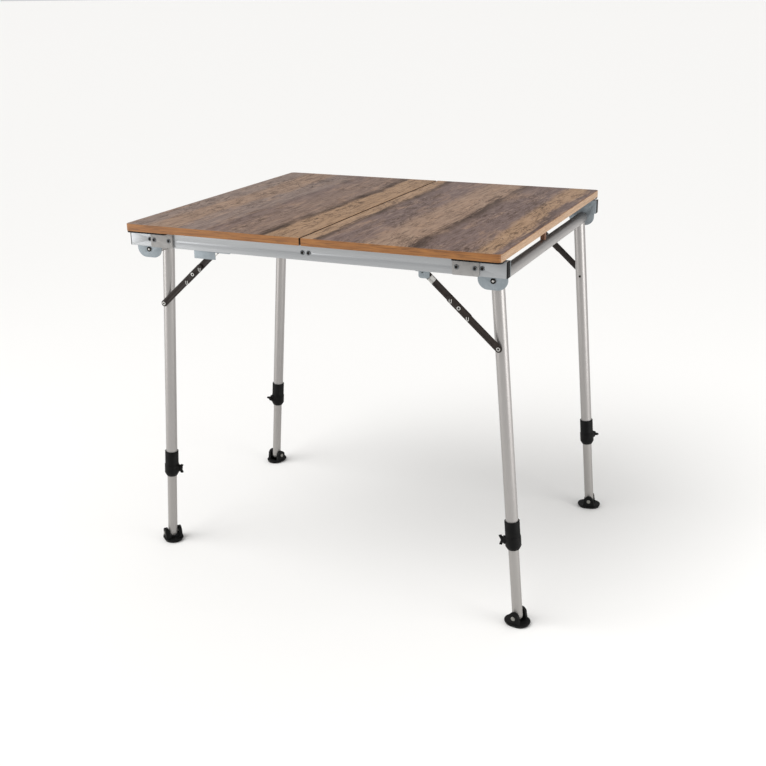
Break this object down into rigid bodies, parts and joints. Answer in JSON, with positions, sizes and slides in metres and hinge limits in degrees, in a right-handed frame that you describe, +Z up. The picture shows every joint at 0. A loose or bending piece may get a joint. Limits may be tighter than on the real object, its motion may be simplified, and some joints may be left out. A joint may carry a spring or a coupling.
{
  "type": "camping table",
  "caption": "Folding camping table with a wood-look top, an aluminium frame and telescopic legs that fold up flat under it.",
  "frame": {"origin": "on the floor, under the middle of the table top", "axes": "+X along the long side, to the right in the picture; +Y from front to back; +Z up"},
  "size_m": [0.9075, 0.704, 0.768],
  "materials": {
    "wood_laminate": "matt printed wood laminate with an orange-brown edge band",
    "aluminium_frame": "satin extruded aluminium",
    "aluminium_leg": "satin drawn aluminium tube",
    "galvanised_steel": "zinc-plated steel sheet",
    "bright_fastener": "bright steel",
    "brace_paint": "dark brown-black coated steel",
    "black_plastic": "black moulded plastic",
    "brown_plastic": "dark brown moulded plastic"
  },
  "bodies": {
    "table_top": {"board_left": "wood_laminate", "board_right": "wood_laminate", "rail_front": "aluminium_frame", "rail_back": "aluminium_frame", "end_caps": "black_plastic", "crossmember": "aluminium_frame", "corner_plate_fl": "galvanised_steel", "corner_plate_fr": "galvanised_steel", "corner_plate_bl": "galvanised_steel", "corner_plate_br": "galvanised_steel", "pivot_plate_fl": "galvanised_steel", "pivot_plate_fr": "galvanised_steel", "pivot_plate_bl": "galvanised_steel", "pivot_plate_br": "galvanised_steel", "frame_rivets": "bright_fastener", "rest_block_left": "brown_plastic", "rest_block_right": "brown_plastic", "bracket_fl": "galvanised_steel", "bracket_fr": "galvanised_steel", "bracket_bl": "galvanised_steel", "bracket_br": "galvanised_steel", "bracket_pins": "bright_fastener"},
    "leg_frame_left": {"cross_tube_left": "aluminium_frame", "hinge_studs_left": "bright_fastener", "leg_tube_fl": "aluminium_leg", "clamp_fl": "black_plastic", "leg_tube_bl": "aluminium_leg", "clamp_bl": "black_plastic"},
    "leg_frame_right": {"cross_tube_right": "aluminium_frame", "hinge_studs_right": "bright_fastener", "leg_tube_fr": "aluminium_leg", "clamp_fr": "black_plastic", "leg_tube_br": "aluminium_leg", "clamp_br": "black_plastic"},
    "wing_screw_body_fl": {"wing_screw_fl": "black_plastic"},
    "lower_leg_fl": {"lower_tube_fl": "aluminium_leg"},
    "foot_body_fl": {"foot_fl": "black_plastic", "foot_pin_fl": "bright_fastener"},
    "upper_link_fl": {"brace_upper_fl": "brace_paint"},
    "lower_link_fl": {"brace_lower_fl": "brace_paint"},
    "wing_screw_body_fr": {"wing_screw_fr": "black_plastic"},
    "lower_leg_fr": {"lower_tube_fr": "aluminium_leg"},
    "foot_body_fr": {"foot_fr": "black_plastic", "foot_pin_fr": "bright_fastener"},
    "upper_link_fr": {"brace_upper_fr": "brace_paint"},
    "lower_link_fr": {"brace_lower_fr": "brace_paint"},
    "wing_screw_body_bl": {"wing_screw_bl": "black_plastic"},
    "lower_leg_bl": {"lower_tube_bl": "aluminium_leg"},
    "foot_body_bl": {"foot_bl": "black_plastic", "foot_pin_bl": "bright_fastener"},
    "upper_link_bl": {"brace_upper_bl": "brace_paint"},
    "lower_link_bl": {"brace_lower_bl": "brace_paint"},
    "wing_screw_body_br": {"wing_screw_br": "black_plastic"},
    "lower_leg_br": {"lower_tube_br": "aluminium_leg"},
    "foot_body_br": {"foot_br": "black_plastic", "foot_pin_br": "bright_fastener"},
    "upper_link_br": {"brace_upper_br": "brace_paint"},
    "lower_link_br": {"brace_lower_br": "brace_paint"}
  },
  "joints": [
    {"name": "fold_left", "type": "hinge", "parent": "table_top", "child": "leg_frame_left", "pos_m": [-0.373, 0, 0.7095], "axis": [0, -1, 0], "range_deg": [0, 93]},
    {"name": "fold_right", "type": "hinge", "parent": "table_top", "child": "leg_frame_right", "pos_m": [0.373, 0, 0.7095], "axis": [0, 1, 0], "range_deg": [0, 93]},
    {"name": "wing_screw_turn_fl", "type": "hinge", "parent": "leg_frame_left", "child": "wing_screw_body_fl", "pos_m": [-0.41428, -0.2455, 0.18499], "axis": [0.9818, 0.1736, -0.0773], "range_deg": [0, 180]},
    {"name": "leg_length_fl", "type": "slide", "parent": "leg_frame_left", "child": "lower_leg_fl", "axis": [0.0785, 0, 0.9969], "range_m": [-0.015, 0.13]},
    {"name": "foot_tilt_fl", "type": "hinge", "parent": "lower_leg_fl", "child": "foot_body_fl", "pos_m": [-0.42734, -0.2455, 0.019], "axis": [0.6428, 0.766, 0], "range_deg": [-20, 20]},
    {"name": "brace_upper_turn_fl", "type": "hinge", "parent": "table_top", "child": "upper_link_fl", "pos_m": [-0.234, -0.262, 0.7145], "axis": [0, -1, 0], "range_deg": [0, 138]},
    {"name": "brace_lower_turn_fl", "type": "hinge", "parent": "upper_link_fl", "child": "lower_link_fl", "pos_m": [-0.30512, -0.262, 0.65034], "axis": [0, -1, 0], "range_deg": [-175.5, 0]},
    {"name": "wing_screw_turn_fr", "type": "hinge", "parent": "leg_frame_right", "child": "wing_screw_body_fr", "pos_m": [0.41428, -0.289, 0.18499], "axis": [-0.9629, -0.2588, -0.0758], "range_deg": [0, 180]},
    {"name": "leg_length_fr", "type": "slide", "parent": "leg_frame_right", "child": "lower_leg_fr", "axis": [-0.0785, 0, 0.9969], "range_m": [-0.015, 0.13]},
    {"name": "foot_tilt_fr", "type": "hinge", "parent": "lower_leg_fr", "child": "foot_body_fr", "pos_m": [0.42734, -0.289, 0.019], "axis": [0.1736, 0.9848, 0], "range_deg": [-20, 20]},
    {"name": "brace_upper_turn_fr", "type": "hinge", "parent": "table_top", "child": "upper_link_fr", "pos_m": [0.234, -0.3055, 0.7145], "axis": [0, 1, 0], "range_deg": [0, 138]},
    {"name": "brace_lower_turn_fr", "type": "hinge", "parent": "upper_link_fr", "child": "lower_link_fr", "pos_m": [0.30512, -0.3055, 0.65034], "axis": [0, 1, 0], "range_deg": [-175.5, 0]},
    {"name": "wing_screw_turn_bl", "type": "hinge", "parent": "leg_frame_left", "child": "wing_screw_body_bl", "pos_m": [-0.41428, 0.2455, 0.18499], "axis": [-0.5718, -0.8192, 0.045], "range_deg": [0, 180]},
    {"name": "leg_length_bl", "type": "slide", "parent": "leg_frame_left", "child": "lower_leg_bl", "axis": [0.0785, 0, 0.9969], "range_m": [-0.015, 0.13]},
    {"name": "foot_tilt_bl", "type": "hinge", "parent": "lower_leg_bl", "child": "foot_body_bl", "pos_m": [-0.42734, 0.2455, 0.019], "axis": [0.9613, -0.2756, 0], "range_deg": [-20, 20]},
    {"name": "brace_upper_turn_bl", "type": "hinge", "parent": "table_top", "child": "upper_link_bl", "pos_m": [-0.234, 0.262, 0.7145], "axis": [0, -1, 0], "range_deg": [0, 138]},
    {"name": "brace_lower_turn_bl", "type": "hinge", "parent": "upper_link_bl", "child": "lower_link_bl", "pos_m": [-0.30512, 0.262, 0.65034], "axis": [0, -1, 0], "range_deg": [-175.5, 0]},
    {"name": "wing_screw_turn_br", "type": "hinge", "parent": "leg_frame_right", "child": "wing_screw_body_br", "pos_m": [0.41428, 0.289, 0.18499], "axis": [0.6408, 0.766, 0.0504], "range_deg": [0, 180]},
    {"name": "leg_length_br", "type": "slide", "parent": "leg_frame_right", "child": "lower_leg_br", "axis": [-0.0785, 0, 0.9969], "range_m": [-0.015, 0.13]},
    {"name": "foot_tilt_br", "type": "hinge", "parent": "lower_leg_br", "child": "foot_body_br", "pos_m": [0.42734, 0.289, 0.019], "axis": [-0.1736, 0.9848, 0], "range_deg": [-20, 20]},
    {"name": "brace_upper_turn_br", "type": "hinge", "parent": "table_top", "child": "upper_link_br", "pos_m": [0.234, 0.3055, 0.7145], "axis": [0, 1, 0], "range_deg": [0, 138]},
    {"name": "brace_lower_turn_br", "type": "hinge", "parent": "upper_link_br", "child": "lower_link_br", "pos_m": [0.30512, 0.3055, 0.65034], "axis": [0, 1, 0], "range_deg": [-175.5, 0]}
  ],
  "couplings": [
    {"joint": "brace_upper_turn_fl", "follows": "fold_left", "ratio": 1.4833},
    {"joint": "brace_lower_turn_fl", "follows": "fold_left", "ratio": -1.8862},
    {"joint": "brace_upper_turn_fr", "follows": "fold_right", "ratio": 1.4833},
    {"joint": "brace_lower_turn_fr", "follows": "fold_right", "ratio": -1.8862},
    {"joint": "brace_upper_turn_bl", "follows": "fold_left", "ratio": 1.4833},
    {"joint": "brace_lower_turn_bl", "follows": "fold_left", "ratio": -1.8862},
    {"joint": "brace_upper_turn_br", "follows": "fold_right", "ratio": 1.4833},
    {"joint": "brace_lower_turn_br", "follows": "fold_right", "ratio": -1.8862}
  ]
}
